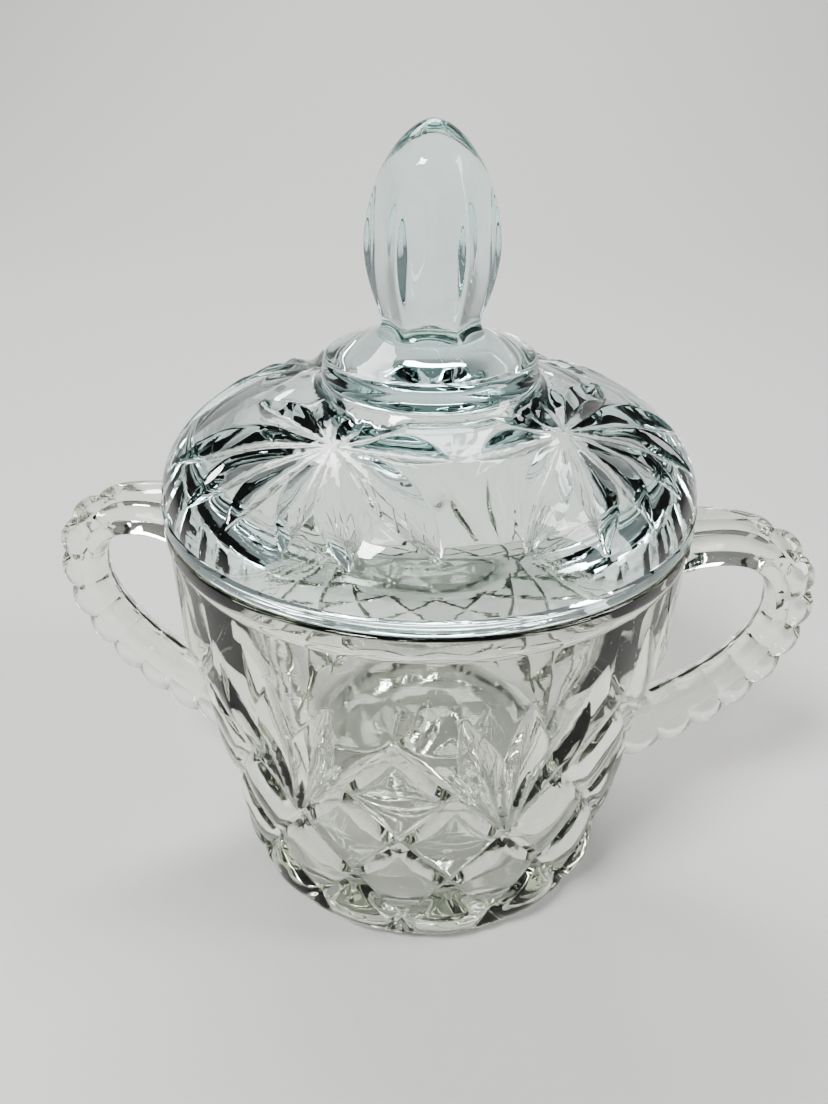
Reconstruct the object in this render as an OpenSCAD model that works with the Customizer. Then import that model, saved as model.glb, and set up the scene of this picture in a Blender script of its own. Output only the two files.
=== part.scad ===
// Covered candy dish in pressed clear glass: a two-handled bowl and a domed lid with a fluted finial.
// The frame's origin is the middle of the foot ring, +Z is up and the two handles lie along +X and -X.

/* [Bowl] */
// Height of the bowl's rim above the table
bowl_height = 84; // [80:0.5:88]
// Outside radius of the bowl at its rim
rim_radius = 50.3; // [48:0.1:52]
// Outside radius where the heel meets the tapered wall
heel_radius = 40.8; // [39:0.1:42]
// Radius of the rounded heel
heel_round = 8; // [6:0.5:9]
// Height at which the tapered wall turns almost upright
shoulder_z = 60; // [55:1:65]
// Outside radius at that height
shoulder_radius = 49.4; // [47:0.1:50]
// Height of the plain belt round the rim
belt_height = 3.6; // [2.5:0.1:6]
// Distance the belt stands out from the wall below it
belt_step = 0.45; // [0.2:0.05:0.8]
// Wall thickness at the rim
rim_wall = 4.3; // [3.5:0.1:5]
// Thickness of the bowl's floor
floor_thickness = 9; // [7:0.5:12]
// Depth of the hollow under the foot ring
foot_recess = 1.2; // [0.5:0.1:2]

/* [Handles] */
// Thickness of a handle from front to back
handle_thickness = 9; // [7:0.5:11]
// Greatest distance of a handle's outer edge from the bowl's axis
handle_reach = 77.3; // [75:0.1:80]
// Number of scallops along a handle's outer edge
scallop_count = 9; // [7:1:9]
// Length of one scallop
scallop_pitch = 8.3; // [7:0.1:8.4]
// Height of one scallop above the notches beside it
scallop_rise = 1.1; // [0.6:0.1:1.6]

/* [Lid] */
// Gap between the lid's edge and the bowl's rim
seat_gap = 0.2; // [0.1:0.05:0.5]
// Height of the rounded bead round the lid's edge
bead_height = 3.3; // [2.5:0.1:4]
// Height of the dome above the bead, as if it had no collar
dome_height = 20; // [16:0.5:24]
// Thickness of the dome
dome_wall = 4.2; // [3.5:0.1:5]
// Outside radius of the locating ring under the lid's edge
ring_radius = 44.9; // [44:0.1:45.2]
// Depth to which the locating ring reaches into the bowl
ring_depth = 4; // [3:0.5:6]
// Radius of the collar's upper edge
collar_radius = 18.9; // [17:0.1:20]

/* [Finial] */
// Height of the finial's tip above the table
total_height = 150; // [146:0.5:154]
// Greatest radius of the finial
finial_radius = 11.8; // [10.5:0.1:13]
// Radius of the finial's neck
neck_radius = 8.8; // [8:0.1:9.5]
// Number of flutes round the finial
flute_count = 6; // [6:1:8]
// Distance from the finial's axis to the bottom of a flute
flute_floor = 9.3; // [8.8:0.1:10]
// Radius to which a flute is hollowed
flute_radius = 17.7; // [14:0.1:22]

/* [Hidden] */
$fn = 96;

// Radius of the rounded edges where the lid meets the rim
edge_round = 0.65;

// Heights in the lid, all measured from the table
lid_bottom = bowl_height + seat_gap;
dome_start = lid_bottom + bead_height;
dome_radius = 50;
collar_foot_radius = 21;
collar_top = dome_start + 24.2;
neck_z = collar_top + 5.7;
bulge_z = neck_z + 12.6;

// Height of a dome that starts at dome_start, at a radius
function dome_z(r, edge, height) = dome_start + height * sqrt(1 - pow(r / edge, 2.6));

// Radius of the finial without its flutes, at a height above its neck
function finial_r(z) = z < bulge_z
    ? neck_radius + (finial_radius - neck_radius) * sin(90 * (z - neck_z) / (bulge_z - neck_z))
    : finial_radius * pow(1 - pow((z - bulge_z) / (total_height - bulge_z), 1.9), 0.6);

// A quarter of a rounded corner, as points from one angle to another
function corner(centre, r, a0, a1, steps = 6) =
    [for (i = [0:steps]) centre + r * [cos(a0 + (a1 - a0) * i / steps), sin(a0 + (a1 - a0) * i / steps)]];

// A point on a cubic curve given by its four control points
function bezier(p, t) =
    pow(1 - t, 3) * p[0] + 3 * t * pow(1 - t, 2) * p[1] + 3 * t * t * (1 - t) * p[2] + pow(t, 3) * p[3];

// The handle's outer notches lie on a curve that runs from the rim over its top, then down to the lower root
notch_reach = handle_reach - scallop_rise;
outer_over = [[47.3, 81.2], [66, 83.4], [notch_reach, 76], [notch_reach, 62.5]];
outer_down = [[notch_reach, 62.5], [notch_reach, 47], [63.7, 31], [42, 18.5]];
inner_over = [[47.3, 67.5], [57.5, 74.5], [68.4, 73.8], [67.8, 61.5]];
inner_down = [[67.8, 61.5], [67.4, 53], [58.5, 42.8], [42, 34.5]];
function outer_edge(u) = u < 1 ? bezier(outer_over, u) : bezier(outer_down, u - 1);
function inner_edge(u) = u < 1 ? bezier(inner_over, u) : bezier(inner_down, u - 1);

// Unit vector that points away from the glass at the outer edge
function outward(u) =
    let (d = outer_edge(min(u + 0.01, 2)) - outer_edge(max(u - 0.01, 0))) [-d[1], d[0]] / norm(d);

// Distance travelled along the outer edge
edge_steps = 48;
function edge_at(n) = outer_edge(2 * n / edge_steps);
function travelled(n) = n == 0 ? 0 : travelled(n - 1) + norm(edge_at(n) - edge_at(n - 1));
edge_table = [for (n = [0:edge_steps]) [travelled(n), 2 * n / edge_steps]];
edge_length = travelled(edge_steps);

// The scallops end just inside the wall at the lower root; a plain arm runs from the rim to the first notch
scallop_end = edge_length - 3.4;
scallop_start = scallop_end - scallop_count * scallop_pitch;
arm_round = 4;
function bulge(share) = 4 * scallop_rise * share * (1 - share);
function swell(d) = d < scallop_start
    ? bulge(min((scallop_start - d) / arm_round, 1) / 2)
    : bulge((d - scallop_start) / scallop_pitch - floor((d - scallop_start) / scallop_pitch));
function scalloped(d) = let (u = lookup(d, edge_table)) outer_edge(u) + swell(d) * outward(u);

module bowl_solid() {
    rotate_extrude()
        polygon(concat(
            [[0, foot_recess], [28, foot_recess], [30, 0]],
            corner([heel_radius - heel_round, heel_round], heel_round, -90, 0),
            [[shoulder_radius, shoulder_z], [rim_radius - belt_step, bowl_height - belt_height]],
            [[rim_radius, bowl_height - belt_height + 0.7]],
            corner([rim_radius - edge_round, bowl_height - edge_round], edge_round, 0, 90, 4),
            [[0, bowl_height]]));
}

module bowl_cavity() {
    inner_rim = rim_radius - rim_wall;
    rotate_extrude()
        polygon(concat(
            [[0, floor_thickness], [27, floor_thickness]],
            corner([27.5, floor_thickness + 9], 9, -85, -10),
            [[inner_rim - 0.6, bowl_height - 6], [inner_rim, bowl_height + 1], [0, bowl_height + 1]]));
}

// Outline of a handle, in the plane of the bowl's axis
module handle_outline() {
    arm_steps = 12;
    scallop_steps = 6 * scallop_count;
    polygon(concat(
        [for (i = [0:arm_steps - 1]) scalloped(scallop_start * i / arm_steps)],
        [for (i = [0:scallop_steps]) scalloped(scallop_start + scallop_pitch * i / 6)],
        [outer_edge(2)],
        [for (i = [edge_steps:-2:0]) inner_edge(2 * i / edge_steps)]));
}

module handle() {
    rotate([90, 0, 0])
        linear_extrude(height = handle_thickness, center = true)
            handle_outline();
}

module bowl() {
    color([0.86, 0.92, 0.86])
        difference() {
            union() {
                bowl_solid();
                for (turn = [0, 180])
                    rotate([0, 0, turn])
                        handle();
            }
            bowl_cavity();
        }
}

// Cutter for one flute: an upright bar beside the finial, which meets it only where it bulges
module flute_cutter() {
    translate([flute_floor + flute_radius, 0, neck_z + 0.1])
        cylinder(r = flute_radius, h = total_height - neck_z, $fn = 120);
}

module lid_solid() {
    finial_steps = 14;
    dome_steps = 9;
    inner_edge_r = ring_radius - 0.6;
    inner_height = dome_height - dome_wall;
    ring_inner = ring_radius - 3.4;
    rotate_extrude()
        polygon(concat(
            [for (i = [finial_steps:-1:0]) let (z = neck_z + (total_height - neck_z) * i / finial_steps)
                [finial_r(z), z]],
            [[neck_radius + 0.7, neck_z - 2], [collar_radius - 0.8, collar_top + 0.1]],
            [[collar_radius, collar_top - 0.6], [collar_radius + 0.7, collar_top - 3]],
            [[collar_foot_radius, dome_z(collar_foot_radius, dome_radius, dome_height)]],
            [for (i = [1:dome_steps]) let (r = dome_radius * sin(24.8 + 65.2 * i / dome_steps))
                [r, dome_z(r, dome_radius, dome_height)]],
            [[rim_radius, dome_start - 0.4]],
            corner([rim_radius - edge_round, lid_bottom + edge_round], edge_round, 0, -90, 4),
            [[ring_radius, lid_bottom], [ring_radius - 0.4, bowl_height - ring_depth]],
            [[ring_inner, bowl_height - ring_depth]],
            [for (i = [6:-1:0]) let (r = 16 + (ring_inner - 16) * sin(15 * i))
                [r, dome_z(r, inner_edge_r, inner_height)]],
            [[14, collar_top - 4.5], [0, collar_top - 4]]));
}

module lid() {
    color([0.80, 0.93, 0.92])
        difference() {
            lid_solid();
            for (k = [0:flute_count - 1])
                rotate([0, 0, -90 + 360 * k / flute_count])
                    flute_cutter();
        }
}

bowl();
lid();
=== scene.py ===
import math

import bmesh
import bpy
import numpy as np
from mathutils import Matrix, Vector, geometry
from mathutils.kdtree import KDTree


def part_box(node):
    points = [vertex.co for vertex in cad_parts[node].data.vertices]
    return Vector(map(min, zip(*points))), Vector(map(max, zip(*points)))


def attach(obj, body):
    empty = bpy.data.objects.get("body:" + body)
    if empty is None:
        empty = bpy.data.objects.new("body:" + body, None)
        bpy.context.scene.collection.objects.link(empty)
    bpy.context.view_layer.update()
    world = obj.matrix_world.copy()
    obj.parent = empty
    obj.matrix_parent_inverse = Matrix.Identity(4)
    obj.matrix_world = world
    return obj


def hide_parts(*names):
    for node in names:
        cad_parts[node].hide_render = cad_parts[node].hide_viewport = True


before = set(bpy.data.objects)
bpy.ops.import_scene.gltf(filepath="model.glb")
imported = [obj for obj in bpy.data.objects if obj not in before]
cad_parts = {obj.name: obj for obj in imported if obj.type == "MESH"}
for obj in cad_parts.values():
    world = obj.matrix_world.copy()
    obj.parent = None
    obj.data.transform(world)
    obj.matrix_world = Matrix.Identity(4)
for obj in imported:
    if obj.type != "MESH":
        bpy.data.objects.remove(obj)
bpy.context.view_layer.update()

# ---------------------------------------------------------------------------
# The bowl: one pressing of clear glass. A plunger forms its smooth inside, and the mould's carved wall gives
# the outside its zigzag, lattice and fans. It is one closed skin: a carved outside sheet for half the round,
# set twice, and plain rings for the rim, the inside and the foot. Two scalloped handles are fused to it.
# ---------------------------------------------------------------------------
MM = 0.001
bowl_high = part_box("bowl")[1]
rim_radius = bowl_high.y / MM
rim_top = bowl_high.z / MM
heel_radius = 40.8
heel_round = 8.0
shoulder_z = 60.0
shoulder_radius = 49.4
belt_low = rim_top - 3.6
belt_step = 0.45
sheet_top = belt_low
sheet_low = heel_round - heel_round * math.pi / 2
chart_scale = 0.8  # millimetres round the wall for one degree

# The carved pattern, in degrees round the wall and millimetres up it
medallion_step = 52.0
medallion_places = (-52.0, 0.0, 52.0)
handle_strip = 24.0
apex_z = 59.0
valley_z = 33.2
pattern_turn = -1.7
lattice_rows = 5
lattice_reach = 4.6
groove_half = 1.8
groove_shoulder = 0.3
groove_slope = 0.6
edge_soft = 0.16
pillow_rise = 1.4
pillow_round = 0.8
zigzag_fade = 2.2
belt_fade = 6.0
foot_plain = 1.5
foot_fade = 6.5

# The fans: where they stand, and each leaf's lean from the upright, the height of its tip and its half width
fan_places = (-102.0, -78.0, -26.0, 26.0, 78.0, 102.0)
middle_leaf = (0.0, 69.9, 3.7)
medallion_leaves = ((13.5, 68.3, 3.7), (14.8, 55.2, 1.9))
handle_leaves = ((6.5, 65.4, 2.6), (9.5, 50.8, 1.9))
fan_depth = 0.6  # of half a leaf's width
leaf_peak = 0.6  # of a leaf's length, where it is widest
leaf_shoulder = 0.3


def softly_positive(x, soft):
    """The greater of x and nought, with the corner between them rounded."""
    return 0.5 * (x + np.sqrt(x * x + soft * soft))


def deeper(a, b, soft=0.12):
    """The deeper of two cuts, with the edge between them rounded."""
    return b + softly_positive(a - b, soft)


def v_cut(distance, half_width, slope):
    """Depth of a cut with sloping sides, at a distance from its middle."""
    return softly_positive(slope * (half_width - np.sqrt(distance ** 2 + edge_soft ** 2)), edge_soft * slope)


def leaf_half_width(along, widest):
    """Half the width of a leaf-shaped cut, along 0 at its root to 1 at its tip."""
    along = np.clip(along, 0.0, 1.0)
    rising = np.sin(np.pi / 2 * np.clip(along / leaf_peak, 0, 1)) ** 1.15
    falling = np.cos(np.pi / 2 * np.clip((along - leaf_peak) / (1 - leaf_peak), 0, 1)) ** 1.05
    return widest * np.where(along < leaf_peak, rising, falling)


def leaf_cut(x, y, leaf, depth):
    """Depth of one leaf-shaped scoop, round at its bottom and sharp at its rim, at chart points x, y."""
    (x0, y0), (x1, y1), widest = leaf
    length = math.hypot(x1 - x0, y1 - y0)
    ux, uy = (x1 - x0) / length, (y1 - y0) / length
    along = (x - x0) * ux + (y - y0) * uy
    across = (x - x0) * -uy + (y - y0) * ux
    half = np.maximum(leaf_half_width(along / length, widest), 0.05)
    beyond = np.maximum(np.maximum(-along, along - length), 0.0)
    hollow = half - 0.5 * across ** 2 / half - 0.5 * np.sqrt(across ** 2 + edge_soft ** 2)
    return softly_positive(depth * hollow - beyond, 0.08)


def fan_leaves():
    """The leaves of every fan that reaches the front half of the bowl, in chart millimetres."""
    leaves = []
    for centre in fan_places:
        root = (centre * chart_scale, valley_z + 0.4)
        sided = []
        for side in (-1, 1):
            by_handle = abs(centre + side * handle_strip / 2) == 90.0
            sided += [(side, leaf) for leaf in (handle_leaves if by_handle else medallion_leaves)]
        sided.append((0, middle_leaf))
        for side, (lean, tip, widest) in sided:
            leaves.append((root, ((centre + side * lean) * chart_scale, tip), widest))
    return leaves


def lattice(angle, height):
    """Lattice coordinates of a place, where lines run along whole numbers, and the zigzag's height there."""
    angle = np.abs(angle)
    in_strip = angle > 90.0 - handle_strip / 2
    local = np.where(in_strip, (angle - 90.0) * medallion_step / 2 / handle_strip,
                     angle - medallion_step * np.round(angle / medallion_step))
    node_z = np.where(in_strip, (apex_z + valley_z) / 2, apex_z)
    half_cell = medallion_step / 4
    cell_drop = (apex_z - valley_z) / 2
    p = (local / half_cell + (node_z - height) / cell_drop) / 2
    q = (-local / half_cell + (node_z - height) / cell_drop) / 2
    zigzag = np.where(in_strip, node_z - np.abs(local) / half_cell * cell_drop,
                      apex_z - np.abs(local) / half_cell * cell_drop)
    return p, q, zigzag


cell_width = medallion_step / 4 * chart_scale
cell_height = (apex_z - valley_z) / 2
line_spacing = 2 * cell_width * cell_height / math.hypot(cell_width, cell_height)
leaves_on_bowl = fan_leaves()


def bowl_cut(x, y):
    """How deep the mould's pattern lies under the bowl's plain wall at chart points x, y."""
    angle, height = x / chart_scale, y
    p, q, zigzag = lattice(angle, height)
    p_off = np.abs(p - np.round(p)) * line_spacing
    q_off = np.abs(q - np.round(q)) * line_spacing
    below = height < zigzag + 0.001
    to_zigzag = np.abs(height - zigzag) * line_spacing / (apex_z - valley_z)
    lines = deeper(v_cut(p_off, groove_half, groove_slope), v_cut(q_off, groove_half, groove_slope))
    pillow = pillow_rise * (1 - np.abs(np.sin(np.pi * p) * np.sin(np.pi * q)) ** pillow_round)
    in_lattice = (lines + pillow) * np.clip((height - foot_plain) / foot_fade, 0, 1)
    leaves = np.zeros_like(x)
    for leaf in leaves_on_bowl:
        leaves = np.maximum(leaf_cut(x, y, leaf, fan_depth), leaves)
    border = v_cut(to_zigzag, groove_half, groove_slope)
    rest = pillow_rise * np.exp(-to_zigzag / zigzag_fade)
    above = (np.maximum(border, leaves) + rest) * np.clip((sheet_top - height) / belt_fade, 0, 1)
    return np.where(below, in_lattice, above)


def bowl_place(x, y):
    """Points in space for chart points on the bowl's outside, with the pattern pressed in."""
    angle = np.radians(x / chart_scale + pattern_turn)
    turn = np.clip((heel_round - y) / heel_round, 0, np.pi / 2)
    spread = rim_radius - belt_step - shoulder_radius
    upper = shoulder_radius + spread * (y - shoulder_z) / (belt_low - shoulder_z)
    lower = heel_radius + (shoulder_radius - heel_radius) * (y - heel_round) / (shoulder_z - heel_round)
    wall = np.where(y < shoulder_z, lower, upper)
    radius = np.where(y < heel_round, heel_radius - heel_round * (1 - np.cos(turn)), wall)
    z = np.where(y < heel_round, heel_round * (1 - np.sin(turn)), y)
    cut = bowl_cut(x, y)
    radius = radius - cut * np.cos(turn)
    z = z + cut * np.sin(turn)
    return np.stack([radius * np.sin(angle), -radius * np.cos(angle), z], -1) * MM


def clipped(points, x_low, x_high, y_low, y_high):
    """The stretches of a line of chart points that lie inside a rectangle, cut exactly at its sides."""
    runs, run = [], []
    for a, b in zip(points[:-1], points[1:]):
        t0, t1 = 0.0, 1.0
        dx, dy = b[0] - a[0], b[1] - a[1]
        for p, q in ((-dx, a[0] - x_low), (dx, x_high - a[0]), (-dy, a[1] - y_low), (dy, y_high - a[1])):
            if abs(p) < 1e-12:
                if q < 0:
                    t0, t1 = 1.0, 0.0
            elif p < 0:
                t0 = max(t0, q / p)
            else:
                t1 = min(t1, q / p)
        if t0 < t1:
            start = (a[0] + t0 * dx, a[1] + t0 * dy)
            end = (a[0] + t1 * dx, a[1] + t1 * dy)
            if run and math.dist(run[-1], start) < 1e-9:
                run.append(end)
            else:
                run = [start, end]
                runs.append(run)
    return runs


def triangulated(border, lines, fill):
    """Triangles that cover a closed border and keep every line as edges, with the fill points between."""
    points, edges = list(border), [(i, (i + 1) % len(border)) for i in range(len(border))]
    for line in lines:
        first = len(points)
        points += line
        edges += [(first + i, first + i + 1) for i in range(len(line) - 1)]
    points += fill
    result = geometry.delaunay_2d_cdt([Vector(p) for p in points], edges, [], 0, 1e-5, False)
    return np.array([tuple(v) for v in result[0]]), [tuple(f) for f in result[2]]


def stepped(a, b, step):
    """Points along a straight line, about a step apart."""
    n = max(1, round(math.dist(a, b) / step))
    return [(a[0] + (b[0] - a[0]) * i / n, a[1] + (b[1] - a[1]) * i / n) for i in range(n + 1)]


def leaf_lines(leaf, step):
    """The middle line of a leaf-shaped cut, its two outlines, and lines close along both sides of them."""
    (x0, y0), (x1, y1), widest = leaf
    length = math.hypot(x1 - x0, y1 - y0)
    ux, uy = (x1 - x0) / length, (y1 - y0) / length
    n = max(4, round(length / step))
    along = np.linspace(0.06, 1.0, n)
    half = leaf_half_width(along, widest)
    wide = (half > 2 * leaf_shoulder) & (along > 0.25)
    offsets = [(along, 0 * half)]
    for side in (-1, 1):
        offsets += [(along, side * half)]
        offsets += [(along[wide], side * (half[wide] + shift)) for shift in (-leaf_shoulder, leaf_shoulder)]
    return [[(x0 + ux * s * length - uy * w, y0 + uy * s * length + ux * w) for s, w in zip(places, across)]
            for places, across in offsets]


def clear_of(fill, lines, reach):
    """Fill points that keep clear of every line's points and of the stretches between them."""
    dense = [p for line in lines for a, b in zip(line[:-1], line[1:]) for p in stepped(a, b, 0.3)]
    tree = KDTree(len(dense))
    for i, p in enumerate(dense):
        tree.insert((p[0], p[1], 0), i)
    tree.balance()
    return [p for p in fill if tree.find((p[0], p[1], 0))[2] > reach]


def hexagonal(x_low, x_high, y_low, y_high, step):
    """Points of a triangular grid inside a rectangle, mirrored about its middle."""
    points, row, y = [], 0, y_low + step
    middle = (x_low + x_high) / 2
    while y < y_high - step / 2:
        x = step / 2 if row % 2 else 0.0
        while middle + x < x_high - step / 2:
            points.append((middle + x, y))
            if x > 0:
                points.append((middle - x, y))
            x += step
        y += step * 0.866
        row += 1
    return points


def lattice_lines(low):
    """The middles, shoulders and outer edges of every groove of the zigzag and the lattice."""
    half_cell, drop = medallion_step / 4, (apex_z - valley_z) / 2
    cells = [(c, 2 * half_cell, apex_z, 1.0) for c in medallion_places]
    squeeze = handle_strip / (2 * half_cell)
    cells += [(c, handle_strip / 2, apex_z - drop, squeeze) for c in (-90.0, 90.0)]
    lines = []
    for centre, span, node_z, scale in cells:
        sides = ((centre - span) * chart_scale, (centre + span) * chart_scale)
        sides = (max(sides[0], -90 * chart_scale), min(sides[1], 90 * chart_scale))
        for n in range(lattice_rows):
            for offset in (-groove_half, -groove_shoulder, 0.0, groove_shoulder, groove_half):
                fixed = n + offset / line_spacing
                others = np.linspace(offset / line_spacing if n == 0 else 0.0, lattice_reach, 90)
                for sign in (-1, 1):
                    path = [((centre + sign * scale * (fixed - other) * half_cell) * chart_scale,
                             node_z - (fixed + other) * drop) for other in others]
                    lines += clipped(path, *sides, low, sheet_top)
    return lines


def bowl_sheet(line_step=0.8, fill_step=0.92, fill_clear=0.42):
    """The carved outside of the bowl's front half, as points and triangles."""
    x_end = 90 * chart_scale
    box = (-x_end, x_end, sheet_low, sheet_top)
    columns = [chart_scale * a for a in range(-90, 91)]
    rows = [sheet_low + (sheet_top - sheet_low) * i / 100 for i in range(101)]
    border = [(x, sheet_low) for x in columns] + [(x_end, y) for y in rows[1:-1]]
    border += [(x, sheet_top) for x in reversed(columns)] + [(-x_end, y) for y in reversed(rows[1:-1])]
    lines = lattice_lines(sheet_low + 1.2)
    for leaf in leaves_on_bowl:
        for line in leaf_lines(leaf, line_step):
            lines += clipped(line, *box)
    fill = hexagonal(-x_end, x_end, sheet_low, sheet_top, fill_step)
    fill = clear_of(fill, lines + [border + border[:1]], fill_clear)
    return triangulated(border, lines, fill)


def new_mesh(name, points, faces):
    mesh = bpy.data.meshes.new(name)
    mesh.from_pydata([tuple(p) for p in points], [], faces)
    mesh.update()
    return mesh


def repeat_tree():
    """Geometry nodes that set copies of a mesh round the upright axis and merge their shared edges."""
    tree = bpy.data.node_groups.new("repeat_round_axis", "GeometryNodeTree")
    face = tree.interface
    face.new_socket("Geometry", in_out="INPUT", socket_type="NodeSocketGeometry")
    face.new_socket("Copies", in_out="INPUT", socket_type="NodeSocketInt")
    face.new_socket("Step", in_out="INPUT", socket_type="NodeSocketFloat")
    face.new_socket("Start", in_out="INPUT", socket_type="NodeSocketFloat")
    face.new_socket("Material", in_out="INPUT", socket_type="NodeSocketMaterial")
    face.new_socket("Geometry", in_out="OUTPUT", socket_type="NodeSocketGeometry")
    nodes, links = tree.nodes, tree.links
    group_in, group_out = nodes.new("NodeGroupInput"), nodes.new("NodeGroupOutput")
    points = nodes.new("GeometryNodePoints")
    index = nodes.new("GeometryNodeInputIndex")
    angle = nodes.new("ShaderNodeMath")
    angle.operation = "MULTIPLY_ADD"
    spin = nodes.new("ShaderNodeCombineXYZ")
    copies = nodes.new("GeometryNodeInstanceOnPoints")
    real = nodes.new("GeometryNodeRealizeInstances")
    merge = nodes.new("GeometryNodeMergeByDistance")
    merge.inputs["Distance"].default_value = 0.000002
    finish = nodes.new("GeometryNodeSetMaterial")
    links.new(group_in.outputs["Copies"], points.inputs["Count"])
    links.new(index.outputs["Index"], angle.inputs[0])
    links.new(group_in.outputs["Step"], angle.inputs[1])
    links.new(group_in.outputs["Start"], angle.inputs[2])
    links.new(angle.outputs[0], spin.inputs["Z"])
    links.new(points.outputs[0], copies.inputs["Points"])
    links.new(group_in.outputs["Geometry"], copies.inputs["Instance"])
    links.new(spin.outputs[0], copies.inputs["Rotation"])
    links.new(copies.outputs[0], real.inputs[0])
    links.new(real.outputs[0], merge.inputs["Geometry"])
    links.new(merge.outputs[0], finish.inputs["Geometry"])
    links.new(group_in.outputs["Material"], finish.inputs["Material"])
    links.new(finish.outputs[0], group_out.inputs[0])
    return tree


repeat_round_axis = repeat_tree()


def repeated(mesh, copies, step, start, material):
    """A plain mesh of copies of a mesh set round the upright axis."""
    holder = bpy.data.objects.new(mesh.name, mesh)
    bpy.context.scene.collection.objects.link(holder)
    modifier = holder.modifiers.new("repeat", "NODES")
    modifier.node_group = repeat_round_axis
    names = {item.name: item.identifier for item in repeat_round_axis.interface.items_tree
             if item.in_out == "INPUT"}
    modifier[names["Copies"]] = copies
    modifier[names["Step"]] = math.radians(step)
    modifier[names["Start"]] = math.radians(start)
    modifier[names["Material"]] = material
    evaluated = holder.evaluated_get(bpy.context.evaluated_depsgraph_get())
    result = bpy.data.meshes.new_from_object(evaluated)
    bpy.data.objects.remove(holder)
    return result


def ring_skin(profile, angles):
    """A skin of rings: one point of the profile per ring, with a pole where its radius is nought."""
    points, faces, rings = [], [], []
    n = len(angles)
    for radius, z in profile:
        if np.ndim(radius) == 0 and radius == 0:
            rings.append([len(points)])
            points.append((0.0, 0.0, float(np.mean(z)) * MM))
            continue
        first = len(points)
        radius, z = np.broadcast_to(radius, n), np.broadcast_to(z, n)
        ring = zip(radius, angles, z)
        points += [(r * math.sin(a) * MM, -r * math.cos(a) * MM, h * MM) for r, a, h in ring]
        rings.append(list(range(first, first + n)))
    for a, b in zip(rings[:-1], rings[1:]):
        for i in range(n):
            j = (i + 1) % n
            corners = [a[i % len(a)], a[j % len(a)], b[j % len(b)], b[i % len(b)]]
            faces.append(tuple(dict.fromkeys(corners)))
    return points, faces


def joined(name, meshes, material):
    """One closed skin from several meshes that share their edges, its normals outward."""
    work = bmesh.new()
    for mesh in meshes:
        work.from_mesh(mesh)
        bpy.data.meshes.remove(mesh)
    bmesh.ops.remove_doubles(work, verts=work.verts, dist=0.000002)
    bmesh.ops.recalc_face_normals(work, faces=work.faces)
    result = bpy.data.meshes.new(name)
    work.to_mesh(result)
    work.free()
    result.materials.clear()
    result.materials.append(material)
    return result


def arc(centre, radius, start, end, steps):
    """Points of an arc in a profile, from one angle in degrees to another."""
    angles = np.radians(np.linspace(start, end, steps + 1))
    return [(centre[0] + radius * math.cos(a), centre[1] + radius * math.sin(a)) for a in angles]


def pressed_surface_group():
    """What every face of pressed glass shows: slow ripples, fine level mould lines and a scatter of dust."""
    group = bpy.data.node_groups.new("pressed_surface", "ShaderNodeTree")
    for name, kind in (("Ripple Scale", "NodeSocketFloat"), ("Ripple Height", "NodeSocketFloat"),
                       ("Line Scale", "NodeSocketFloat"), ("Line Height", "NodeSocketFloat"),
                       ("Dust Scale", "NodeSocketFloat"), ("Polished Roughness", "NodeSocketFloat"),
                       ("Dusty Roughness", "NodeSocketFloat"), ("Clear Colour", "NodeSocketColor"),
                       ("Thick Colour", "NodeSocketColor")):
        group.interface.new_socket(name, in_out="INPUT", socket_type=kind)
    for name, kind in (("Colour", "NodeSocketColor"), ("Roughness", "NodeSocketFloat"),
                       ("Height", "NodeSocketFloat")):
        group.interface.new_socket(name, in_out="OUTPUT", socket_type=kind)
    nodes, links = group.nodes, group.links
    group_in, group_out = nodes.new("NodeGroupInput"), nodes.new("NodeGroupOutput")
    place = nodes.new("ShaderNodeTexCoord")

    ripple = nodes.new("ShaderNodeTexNoise")
    ripple.inputs["Detail"].default_value = 1.5
    links.new(place.outputs["Object"], ripple.inputs["Vector"])
    links.new(group_in.outputs["Ripple Scale"], ripple.inputs["Scale"])
    ripple_height = nodes.new("ShaderNodeMath")
    ripple_height.operation = "MULTIPLY"
    links.new(ripple.outputs["Fac"], ripple_height.inputs[0])
    links.new(group_in.outputs["Ripple Height"], ripple_height.inputs[1])

    level = nodes.new("ShaderNodeMapping")
    level.inputs["Scale"].default_value = (0.045, 0.045, 1.0)
    links.new(place.outputs["Object"], level.inputs["Vector"])
    lines = nodes.new("ShaderNodeTexNoise")
    lines.inputs["Detail"].default_value = 2.0
    links.new(level.outputs["Vector"], lines.inputs["Vector"])
    links.new(group_in.outputs["Line Scale"], lines.inputs["Scale"])
    line_height = nodes.new("ShaderNodeMath")
    line_height.operation = "MULTIPLY_ADD"
    links.new(lines.outputs["Fac"], line_height.inputs[0])
    links.new(group_in.outputs["Line Height"], line_height.inputs[1])
    links.new(ripple_height.outputs[0], line_height.inputs[2])
    links.new(line_height.outputs[0], group_out.inputs["Height"])

    dust = nodes.new("ShaderNodeTexVoronoi")
    links.new(place.outputs["Object"], dust.inputs["Vector"])
    links.new(group_in.outputs["Dust Scale"], dust.inputs["Scale"])
    speck = nodes.new("ShaderNodeMapRange")
    speck.inputs["From Min"].default_value = 0.10
    speck.inputs["From Max"].default_value = 0.05
    links.new(dust.outputs["Distance"], speck.inputs["Value"])
    links.new(group_in.outputs["Polished Roughness"], speck.inputs["To Min"])
    links.new(group_in.outputs["Dusty Roughness"], speck.inputs["To Max"])
    links.new(speck.outputs["Result"], group_out.inputs["Roughness"])

    cast = nodes.new("ShaderNodeMix")
    cast.data_type = "RGBA"
    links.new(ripple.outputs["Fac"], cast.inputs["Factor"])
    links.new(group_in.outputs["Clear Colour"], cast.inputs["A"])
    links.new(group_in.outputs["Thick Colour"], cast.inputs["B"])
    links.new(cast.outputs["Result"], group_out.inputs["Colour"])
    return group


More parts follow.
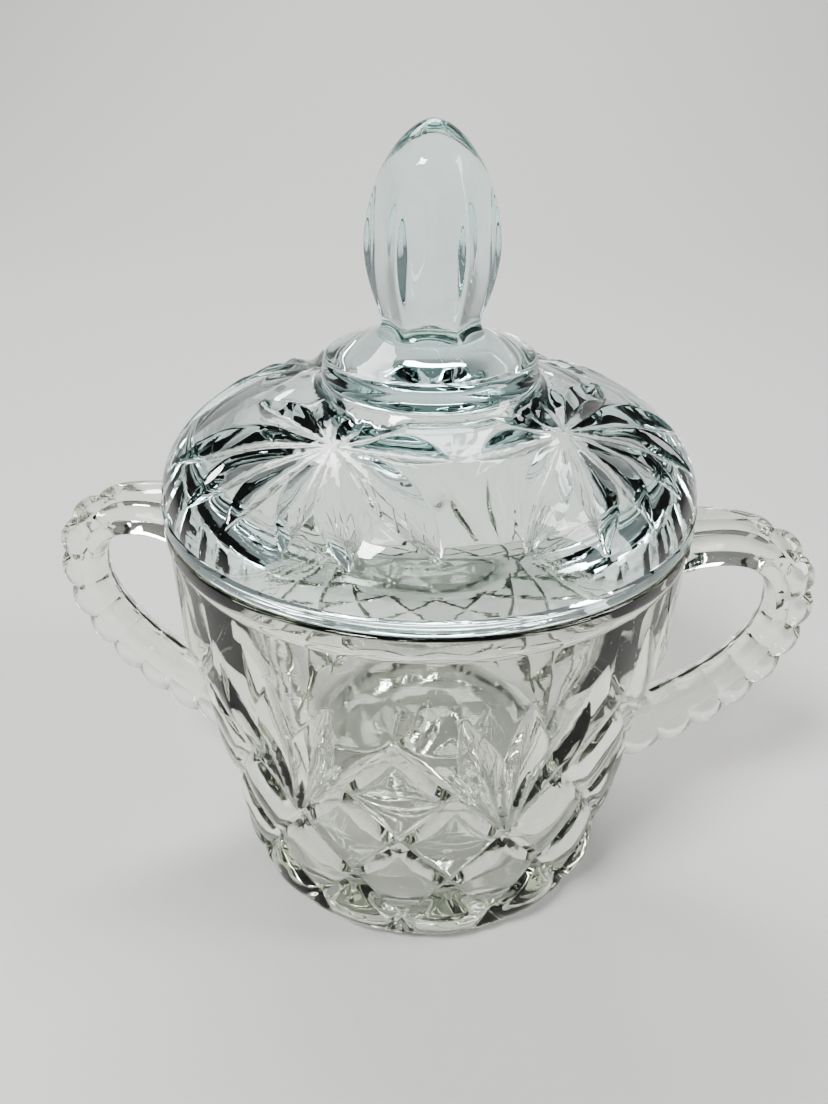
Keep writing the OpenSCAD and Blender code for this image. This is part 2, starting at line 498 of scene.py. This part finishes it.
pressed_surface = pressed_surface_group()


def pressed_glass(name, clear, thick, body, density, line_height):
    """Clear pressed glass: surface from the shared group, and a faint colour that deepens with thickness."""
    material = bpy.data.materials.new(name)
    material.use_nodes = True
    nodes, links = material.node_tree.nodes, material.node_tree.links
    shader = nodes["Principled BSDF"]
    shader.inputs["Transmission Weight"].default_value = 1.0
    shader.inputs["IOR"].default_value = 1.51
    surface = nodes.new("ShaderNodeGroup")
    surface.node_tree = pressed_surface
    for socket, value in (("Ripple Scale", 60.0), ("Ripple Height", 0.00022), ("Line Scale", 1500.0),
                          ("Line Height", line_height), ("Dust Scale", 700.0), ("Polished Roughness", 0.012),
                          ("Dusty Roughness", 0.3), ("Clear Colour", clear), ("Thick Colour", thick)):
        surface.inputs[socket].default_value = value
    bump = nodes.new("ShaderNodeBump")
    bump.inputs["Strength"].default_value = 1.0
    bump.inputs["Distance"].default_value = 1.0
    links.new(surface.outputs["Height"], bump.inputs["Height"])
    links.new(bump.outputs["Normal"], shader.inputs["Normal"])
    links.new(surface.outputs["Roughness"], shader.inputs["Roughness"])
    links.new(surface.outputs["Colour"], shader.inputs["Base Color"])
    depth = nodes.new("ShaderNodeVolumeAbsorption")
    depth.inputs["Color"].default_value = body
    depth.inputs["Density"].default_value = density
    links.new(depth.outputs["Volume"], nodes["Material Output"].inputs["Volume"])
    return material


bowl_glass = pressed_glass("bowl_glass", clear=(1.0, 1.0, 0.985, 1), thick=(0.985, 0.995, 0.97, 1),
                           body=(0.86, 0.93, 0.78, 1), density=26.0, line_height=0.000003)
half_round = np.radians(np.arange(-90, 270, 1.0) + pattern_turn)
sheet_points, sheet_faces = bowl_sheet()
carved = new_mesh("carved_wall", bowl_place(sheet_points[:, 0], sheet_points[:, 1]), sheet_faces)
carved = repeated(carved, 2, 180.0, 0.0, bowl_glass)

# From the belt's step over the rounded rim, down the smooth inside and across the floor
rim_wall = 4.3
outer_round, inner_round = 0.7, 0.9
floor_z = 9.0
floor_round = 9.0
floor_radius = 27.5
inner_rim = rim_radius - rim_wall
inside = [(rim_radius - belt_step, belt_low), (rim_radius - 0.1, belt_low + 0.4)]
inside += [(rim_radius, belt_low + 0.7), (rim_radius, belt_low + 1.6)]
inside += arc((rim_radius - outer_round, rim_top - outer_round), outer_round, 0, 90, 5)
inside += [(inner_rim + 1.2, rim_top)]
inside += arc((inner_rim + inner_round, rim_top - inner_round), inner_round, 90, 180, 4)[1:]
inside += list(zip(np.linspace(inner_rim - 0.15, 36.6, 34), np.linspace(rim_top - 3, 20, 34)))
inside += arc((floor_radius, floor_z + floor_round), floor_round, -8, -82, 14)
inside += [(26.0, floor_z + 0.02)]
inside += [(radius, floor_z) for radius in (20, 12, 5, 0)]
inside_points, inside_faces = ring_skin(inside, half_round)

# The hollow under the foot rises gently from its edge, and a star of petals is cut in its middle
foot_hollow = 1.2
foot_edge, foot_flat = 31.0, 23.6
star_rays = 12
star_reach = 19.0
petal_half, petal_slope = 2.9, 0.9


def foot_star(radius, angles):
    """Height of the hollowed underside, cut with a star of pointed petals."""
    spacing = 360 / star_rays
    off = np.abs(np.mod(np.degrees(angles) + spacing / 2, spacing) - spacing / 2)
    half = leaf_half_width(radius / star_reach, petal_half)
    petals = v_cut(np.radians(off) * radius, half, petal_slope) * (radius < star_reach)
    rise = min(1, (foot_edge - radius) / (foot_edge - foot_flat))
    return foot_hollow * (1 - math.cos(math.pi * rise)) / 2 + petals


foot = [(heel_radius - heel_round, 0.0)]
foot += [(r, foot_star(r, half_round)) for r in np.linspace(foot_edge, 2.0, 38)] + [(0, foot_hollow)]
foot_points, foot_faces = ring_skin(foot, half_round)

bowl_skin = joined("bowl", [carved, new_mesh("inside", inside_points, inside_faces),
                            new_mesh("foot", foot_points, foot_faces)], bowl_glass)

# Each handle follows an inner curve and a curve through its outer notches, in the plane of the axis
scallop_pitch, scallop_count, scallop_rise = 8.3, 9, 1.1
rings_per_scallop = 12
arm_round = 4.0
root_depth = 3.4
sunk_inward, sunk_down = 2.2, 1.0
notch_thinning = 0.4
swell_from = 0.45
notch_reach = bowl_high.x / MM - scallop_rise - 0.05
outer_over = ((47.3, 81.2), (66.0, 83.4), (notch_reach, 76.0), (notch_reach, 62.5))
outer_down = ((notch_reach, 62.5), (notch_reach, 47.0), (63.7, 31.0), (42.0, 18.5))
inner_over = ((47.3, 67.5), (57.5, 74.5), (68.4, 73.8), (67.8, 61.5))
inner_down = ((67.8, 61.5), (67.4, 53.0), (58.5, 42.8), (42.0, 34.5))
# Half of a handle's section: share of the way from its inner to its outer edge, and half its thickness there
half_section = ((0.0, 0.0), (0.0, 2.5), (0.015, 2.9), (0.10, 4.25), (0.13, 4.42), (0.28, 4.46), (0.41, 4.44),
                (0.455, 4.0), (0.50, 4.4), (0.62, 4.3), (0.68, 4.05), (0.80, 3.1), (0.92, 1.9), (0.985, 1.0),
                (1.0, 0.0))


def bezier(curve, t):
    """A point on a cubic curve given by its four control points."""
    a, b, c, d = (np.array(point) for point in curve)
    return (1 - t) ** 3 * a + 3 * t * (1 - t) ** 2 * b + 3 * t * t * (1 - t) * c + t ** 3 * d


def on_edge(over, down, u):
    """A point on one of the handle's edges: u is 0 at the rim, 1 farthest out and 2 at the lower root."""
    return bezier(over, u) if u < 1 else bezier(down, u - 1)


def scallop_swell(place, start):
    """How far the outer edge stands out from its notches: scallops, and a plain arm before the first."""
    share = min((start - place) / arm_round, 1) / 2 if place < start else (place - start) / scallop_pitch % 1
    return 4 * scallop_rise * share * (1 - share)


def handle_mesh():
    """A closed handle: sections set square to its curves, their outer edges swelling into scallops."""
    us = np.linspace(0, 2, 401)
    outer = np.array([on_edge(outer_over, outer_down, u) for u in us])
    travelled = np.concatenate([[0], np.cumsum(np.hypot(*np.diff(outer, axis=0).T))])
    start = travelled[-1] - root_depth - scallop_count * scallop_pitch
    arm = start * (1 - np.linspace(1, 0, 25)[:-1] ** 2)
    steps = np.arange(scallop_count * rings_per_scallop + 1)
    places = np.concatenate([arm, start + scallop_pitch * steps / rings_per_scallop, travelled[-1:]])
    points, faces = [], []
    section = list(half_section) + [(f, -y) for f, y in reversed(half_section[1:-1])]
    for place in places:
        u = float(np.interp(place, travelled, us))
        low, high = on_edge(inner_over, inner_down, u), on_edge(outer_over, outer_down, u)
        across = (high - low) / np.linalg.norm(high - low)
        swell = scallop_swell(place, start)
        hollow = 1 - swell / scallop_rise
        for f, y in section:
            toward_edge = min(max((f - swell_from) / 0.5, 0), 1)
            s, z = low + (high - low) * f + across * swell * toward_edge
            points.append((s * MM, y * (1 - notch_thinning * hollow * toward_edge ** 0.7) * MM, z * MM))
    n = len(section)
    points += [(x - sunk_inward * MM, y, z - sunk_down * MM) for x, y, z in points[-n:]]
    rings = len(places) + 1
    for ring in range(rings - 1):
        for i in range(n):
            j = (i + 1) % n
            faces.append((ring * n + i, ring * n + j, (ring + 1) * n + j, (ring + 1) * n + i))
    faces.append(tuple(range(n)))
    faces.append(tuple(reversed(range((rings - 1) * n, rings * n))))
    return new_mesh("handle", points, faces)


def fused(skin, addition):
    """A skin with a closed mesh joined to it as one body of glass."""
    body = bpy.data.objects.new(skin.name, skin)
    other = bpy.data.objects.new(addition.name, addition)
    bpy.context.scene.collection.objects.link(body)
    bpy.context.scene.collection.objects.link(other)
    joint = body.modifiers.new("join", "BOOLEAN")
    joint.operation, joint.solver, joint.object = "UNION", "MANIFOLD", other
    result = bpy.data.meshes.new_from_object(body.evaluated_get(bpy.context.evaluated_depsgraph_get()))
    bpy.data.objects.remove(other)
    bpy.data.objects.remove(body)
    return result


def shaded(mesh, material, crease):
    """Smooth faces with sharp edges only where the glass turns by more than an angle."""
    work = bmesh.new()
    work.from_mesh(mesh)
    bmesh.ops.recalc_face_normals(work, faces=work.faces)
    for face in work.faces:
        face.smooth = True
        face.material_index = 0
    for edge in work.edges:
        edge.smooth = len(edge.link_faces) != 2 or edge.calc_face_angle(0) < math.radians(crease)
    work.to_mesh(mesh)
    work.free()
    mesh.materials.clear()
    mesh.materials.append(material)
    return mesh


handles = joined("handles", [repeated(handle_mesh(), 2, 180.0, 0.0, bowl_glass)], bowl_glass)
bowl_skin = shaded(fused(bowl_skin, handles), bowl_glass, 50.0)
bowl = bpy.data.objects.new("pressed_bowl", bowl_skin)
bpy.context.scene.collection.objects.link(bowl)
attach(bowl, "bowl_body")
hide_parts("bowl")

# ---------------------------------------------------------------------------
# The lid: a second pressing of clear glass, faintly bluer than the bowl. Four stars of leaf-shaped cuts lie
# round its dome, and a collar carries a fluted finial. A ring under its edge drops inside the bowl's rim.
# ---------------------------------------------------------------------------
total_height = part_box("lid")[1].z / MM
lid_bottom = rim_top + 0.2
dome_start = lid_bottom + 3.3
dome_radius, dome_height = 50.0, 20.0
collar_foot = 21.0
collar_radius = 18.9
collar_top = dome_start + 24.2
neck_z = collar_top + 5.7
bulge_z = neck_z + 12.6
neck_radius, finial_radius = 8.8, 11.8
star_angle = -30.5
flute_angle = 33.5
star_radius = 28.3
hub_depth = 2.3
hub_reach = 12.0
collar_blend, edge_blend = 0.8, 1.5
petal_depth = 0.5
# A star's petals on either side: angle from straight outward, length in plan and half width
side_petals = ((17.5, 20.3, 3.3), (46.0, 24.2, 3.9), (72.5, 29.8, 4.0), (103.5, 21.4, 3.4),
               (135.0, 13.0, 2.4))
inward_petal = (180.0, 8.0, 2.4)


def dome_z(radius, edge=dome_radius, height=dome_height):
    """Height of a dome at a radius."""
    return dome_start + height * np.sqrt(np.clip(1 - (radius / edge) ** 2.6, 0, None))


# Distance over the dome from its axis, so that the carved sheet isn't squashed where the dome is steep
dome_r = collar_foot + (dome_radius - collar_foot) * (1 - (1 - np.linspace(0, 1, 600)) ** 2)
dome_h = dome_z(dome_r)
dome_over = collar_foot + np.concatenate([[0], np.cumsum(np.hypot(np.diff(dome_r), np.diff(dome_h)))])
dome_slope = np.gradient(dome_h, dome_r)
dome_end = float(dome_over[-1])


def over_dome(radius, angle):
    """Chart point for a plan radius and an angle round the lid."""
    over = float(np.interp(radius, dome_r, dome_over))
    return (over * math.sin(angle), -over * math.cos(angle))


def star_leaves():
    """The leaves of one star, as root and tip in the dome's chart and half width."""
    petals = []
    for angle, length, widest in side_petals:
        petals += [(angle, length, widest), (-angle, length, widest)]
    petals.append(inward_petal)
    root = over_dome(star_radius, 0.0)
    result = []
    for angle, length, widest in petals:
        out = star_radius + length * math.cos(math.radians(angle))
        side = length * math.sin(math.radians(angle))
        result.append((root, over_dome(math.hypot(out, side), math.atan2(side, out)), widest))
    return result


leaves_of_star = star_leaves()


def dome_place(x, y):
    """Points in space for chart points on the dome, with the star pressed in."""
    cut = np.zeros_like(x)
    for leaf in leaves_of_star:
        cut = np.maximum(cut, leaf_cut(x, y, leaf, petal_depth))
    from_root = np.hypot(x - leaves_of_star[0][0][0], y - leaves_of_star[0][0][1])
    cut = cut + hub_depth * softly_positive(1 - from_root / hub_reach, 0.1)
    over, angle = np.hypot(x, y), np.arctan2(x, -y)
    cut = cut * np.clip((over - collar_foot) / collar_blend, 0, 1)
    cut = cut * np.clip((dome_end - over) / edge_blend, 0, 1)
    radius = np.interp(over, dome_over, dome_r)
    slope = np.interp(over, dome_over, np.clip(dome_slope, -60, 0))
    size = np.sqrt(1 + slope ** 2)
    radius, z = radius + cut * slope / size, np.interp(over, dome_over, dome_h) - cut / size
    return np.stack([radius * np.sin(angle), -radius * np.cos(angle), z], -1) * MM


def dome_sheet(line_step=0.7, fill_step=0.85, fill_clear=0.4):
    """The carved quarter of the dome round one star, as points and triangles."""
    turns = [math.radians(a) for a in range(-45, 46)]
    border = [(collar_foot * math.sin(a), -collar_foot * math.cos(a)) for a in turns]
    sides = [collar_foot + (dome_end - collar_foot) * i / 40 for i in range(1, 40)]
    border += [(r * math.sin(turns[-1]), -r * math.cos(turns[-1])) for r in sides]
    border += [(dome_end * math.sin(a), -dome_end * math.cos(a)) for a in reversed(turns)]
    border += [(r * math.sin(turns[0]), -r * math.cos(turns[0])) for r in reversed(sides)]
    lines = [[p for p in line if math.hypot(*p) > collar_foot + 0.35]
             for leaf in leaves_of_star for line in leaf_lines(leaf, line_step)]
    fill = [p for p in hexagonal(-dome_end, dome_end, -dome_end, 0, fill_step)
            if collar_foot + 0.4 < math.hypot(*p) < dome_end - 0.4 and abs(p[0]) < -p[1] - 0.5]
    fill = clear_of(fill, lines + [border + border[:1]], fill_clear)
    points, faces = triangulated(border, lines, fill)
    hole = collar_foot * math.cos(math.radians(0.5)) - 0.001
    return points, [f for f in faces if math.hypot(*points[list(f)].mean(0)) > hole]


flute_step = 60
flute_floor = 9.3
flute_rise = 1.5
flute_soft = 0.22
foot_flare = 0.8


def finial_surface(z, angles):
    """Radius of the finial at a height: a bullet with wide hollow flutes that end in arches near its tip."""
    if z < bulge_z:
        rise = np.clip((z - neck_z) / (bulge_z - neck_z), 0, 1)
        plain = neck_radius + (finial_radius - neck_radius) * math.sin(math.pi / 2 * rise)
        floor = plain * (0.88 - 0.09 * rise)
    else:
        plain = finial_radius * max(1 - ((z - bulge_z) / (total_height - bulge_z)) ** 1.9, 0) ** 0.6
        floor = flute_floor - flute_rise * ((z - bulge_z) / 13.5) ** 2
    flare = max(neck_z - z, 0) / 2.0
    plain += foot_flare * flare ** 2
    floor += (plain + 0.3 - floor) * min(flare, 1)
    half = flute_step / 2
    off = half - np.abs(np.mod(np.degrees(angles) - flute_angle + half, flute_step) - half)
    panel = floor + (plain * 1.015 - floor) * (off / half) ** 2
    return plain - softly_positive(plain - panel, flute_soft) * min(1, plain / 3)


lid_glass = pressed_glass("lid_glass", clear=(0.985, 1.0, 1.0, 1), thick=(0.96, 0.995, 0.99, 1),
                          body=(0.60, 0.92, 0.90, 1), density=21.0, line_height=0.000007)
lid_round = np.radians(np.arange(360) + star_angle - 45.0)
dome_points, dome_faces = dome_sheet()
dome = new_mesh("carved_dome", dome_place(dome_points[:, 0], dome_points[:, 1]), dome_faces)
dome = repeated(dome, 4, 90.0, star_angle, lid_glass)

# The upper skin, from the dome up the collar's waisted side and over its top to the finial's tip
collar_side = ((20.5, 19.4), (20.1, 20.0), (19.75, 20.9), (19.5, 22.0), (19.35, 22.9), (19.15, 23.5))
collar_cap = ((0.15, -0.25), (0.6, 0.0), (1.4, 0.15), (2.3, 0.55), (4.4, 1.3), (6.4, 2.1), (7.9, 2.8),
              (8.8, 3.35))
crown = [(collar_foot, float(dome_z(collar_foot)))]
crown += [(radius, dome_start + rise) for radius, rise in collar_side]
crown += [(collar_radius - inward, collar_top + rise) for inward, rise in collar_cap]
crown += [(finial_surface(z, lid_round), z) for z in np.linspace(neck_z - 2.0, neck_z, 7)[:-1]]
rows = np.sin(np.linspace(0, math.pi / 2, 66))
crown += [(finial_surface(z, lid_round), z) for z in neck_z + (total_height - neck_z) * rows[:-1]]
crown.append((0, total_height))
crown_points, crown_faces = ring_skin(crown, lid_round)

# The lower skin, from the crease above the bead round the edge and the locating ring to the hollow's middle
ring_outer = 44.9
ring_inner = ring_outer - 3.4
ring_bottom = rim_top - 4.0
ring_round = 0.7
ring_waver = 0.12 * np.sin(43 * lid_round) + 0.08 * np.sin(71 * lid_round + 1.0)
edge_round = 0.65
crease = 0.28
under = [(dome_radius, dome_start), (dome_radius - crease, dome_start - 0.22)]
under += [(dome_radius - crease, dome_start - 0.4), (dome_radius + 0.1, dome_start - 0.65)]
under += [(rim_radius, dome_start - 1.1), (rim_radius, lid_bottom + edge_round)]
under += arc((rim_radius - edge_round, lid_bottom + edge_round), edge_round, 0, -90, 5)[1:]
under += [(47.0, lid_bottom), (ring_outer + 0.5, lid_bottom), (ring_outer, lid_bottom - 0.4)]
under += [(ring_outer + ring_waver, z) for z in np.linspace(lid_bottom - 1.2, ring_bottom + 0.9, 3)]
under += arc((ring_outer - 0.9, ring_bottom + ring_round), ring_round, 0, -90, 4)
under += arc((ring_inner + 0.9, ring_bottom + ring_round), ring_round, -90, -180, 4)
under += [(ring_inner + 0.1, ring_bottom + 2.5)]
under += [(ring_inner + 0.1, z) for z in np.linspace(lid_bottom, 92.2, 7)]
hollow_edge = ring_outer - 0.6
hollow_height = dome_height - 4.2
hollow_neck = 16.3
spread = np.sin(np.radians(np.linspace(82, 8, 26)))
hollow_radii = hollow_neck + (ring_inner - hollow_neck) * spread
under += [(float(r), float(dome_z(r, hollow_edge, hollow_height))) for r in hollow_radii]
hollow_cap = ((16.0, 14.9), (15.6, 16.1), (15.0, 17.1), (14.0, 17.7), (12.0, 18.2), (9.0, 18.6), (5.0, 18.8),
              (2.0, 18.85), (0, 18.9))
under += [(radius, dome_start + rise) for radius, rise in hollow_cap]
under_points, under_faces = ring_skin(under, lid_round)

lid_skin = joined("lid", [dome, new_mesh("crown", crown_points, crown_faces),
                          new_mesh("under", under_points, under_faces)], lid_glass)
lid_skin = shaded(lid_skin, lid_glass, 50.0)
lid = bpy.data.objects.new("pressed_lid", lid_skin)
bpy.context.scene.collection.objects.link(lid)
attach(lid, "lid_body")
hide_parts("lid")

# ---------------------------------------------------------------------------
# The table and backdrop: one pale sheet that curves up behind the dish. Soft lamps and the camera.
# ---------------------------------------------------------------------------
def upturned_sheet(near=-1.6, bend_start=0.55, bend_radius=0.5, top=1.8, half_width=2.2):
    """A level sheet that bends up into a wall at the back."""
    bend = np.radians(np.linspace(7, 90, 13))
    depth = [(near, 0.0), (bend_start, 0.0)]
    depth += [(bend_start + bend_radius * math.sin(a), bend_radius * (1 - math.cos(a))) for a in bend]
    depth += [(bend_start + bend_radius, top)]
    points = [(x, y, z) for y, z in depth for x in (-half_width, half_width)]
    faces = [(2 * i, 2 * i + 1, 2 * i + 3, 2 * i + 2) for i in range(len(depth) - 1)]
    mesh = bpy.data.meshes.new("backdrop")
    mesh.from_pydata(points, [], faces)
    for face in mesh.polygons:
        face.use_smooth = True
    return mesh


paper = bpy.data.materials.new("pale_paper")
paper.use_nodes = True
paper.node_tree.nodes["Principled BSDF"].inputs["Base Color"].default_value = (0.60, 0.59, 0.58, 1)
paper.node_tree.nodes["Principled BSDF"].inputs["Roughness"].default_value = 0.7
backdrop = bpy.data.objects.new("backdrop", upturned_sheet())
backdrop.data.materials.append(paper)
bpy.context.scene.collection.objects.link(backdrop)


def soft_lamp(name, place, aim, width, height, power):
    """A white area lamp that faces a point."""
    lamp = bpy.data.lights.new(name, "AREA")
    lamp.shape = "RECTANGLE"
    lamp.size, lamp.size_y, lamp.energy = width, height, power
    holder = bpy.data.objects.new(name, lamp)
    holder.location = place
    holder.rotation_euler = (Vector(aim) - Vector(place)).to_track_quat("-Z", "Y").to_euler()
    bpy.context.scene.collection.objects.link(holder)


dish_middle = (0, 0, 0.07)
soft_lamp("key_lamp", (-0.32, -0.50, 0.85), dish_middle, 0.22, 0.22, 9.0)
soft_lamp("side_lamp", (0.85, -0.1, 0.55), dish_middle, 0.2, 0.8, 5.0)
soft_lamp("back_lamp", (-0.25, 0.70, 0.95), dish_middle, 0.9, 0.35, 10.0)

world = bpy.data.worlds.new("studio")
world.use_nodes = True
world.node_tree.nodes["Background"].inputs["Color"].default_value = (0.23, 0.233, 0.236, 1)
bpy.context.scene.world = world

# The camera looks down at the dish from a little to the right of its front
turn = math.radians(4.0)
pitch, yaw, roll = math.radians(30.45), math.radians(-0.93), math.radians(0.49)
stand_off, camera_height = 0.16531, 0.1669
forward = Vector((math.sin(yaw) * math.cos(pitch), math.cos(yaw) * math.cos(pitch), -math.sin(pitch)))
level = Vector((math.cos(yaw), -math.sin(yaw), 0))
upward = level.cross(forward)
right = math.cos(roll) * level + math.sin(roll) * upward
up = -math.sin(roll) * level + math.cos(roll) * upward
aim = Matrix((right, up, -forward)).transposed().to_4x4()
lens = bpy.data.cameras.new("camera")
lens.sensor_width = 36.0
lens.lens = 30.98
lens.clip_start = 0.005
camera = bpy.data.objects.new("camera", lens)
place = Matrix.Translation((0, -stand_off, camera_height))
camera.matrix_world = Matrix.Rotation(turn, 4, "Z") @ place @ aim
bpy.context.scene.collection.objects.link(camera)
bpy.context.scene.camera = camera

bpy.context.scene.view_settings.look = "AgX - Medium High Contrast"
bpy.context.scene.cycles.max_bounces = 16
bpy.context.scene.cycles.transmission_bounces = 16
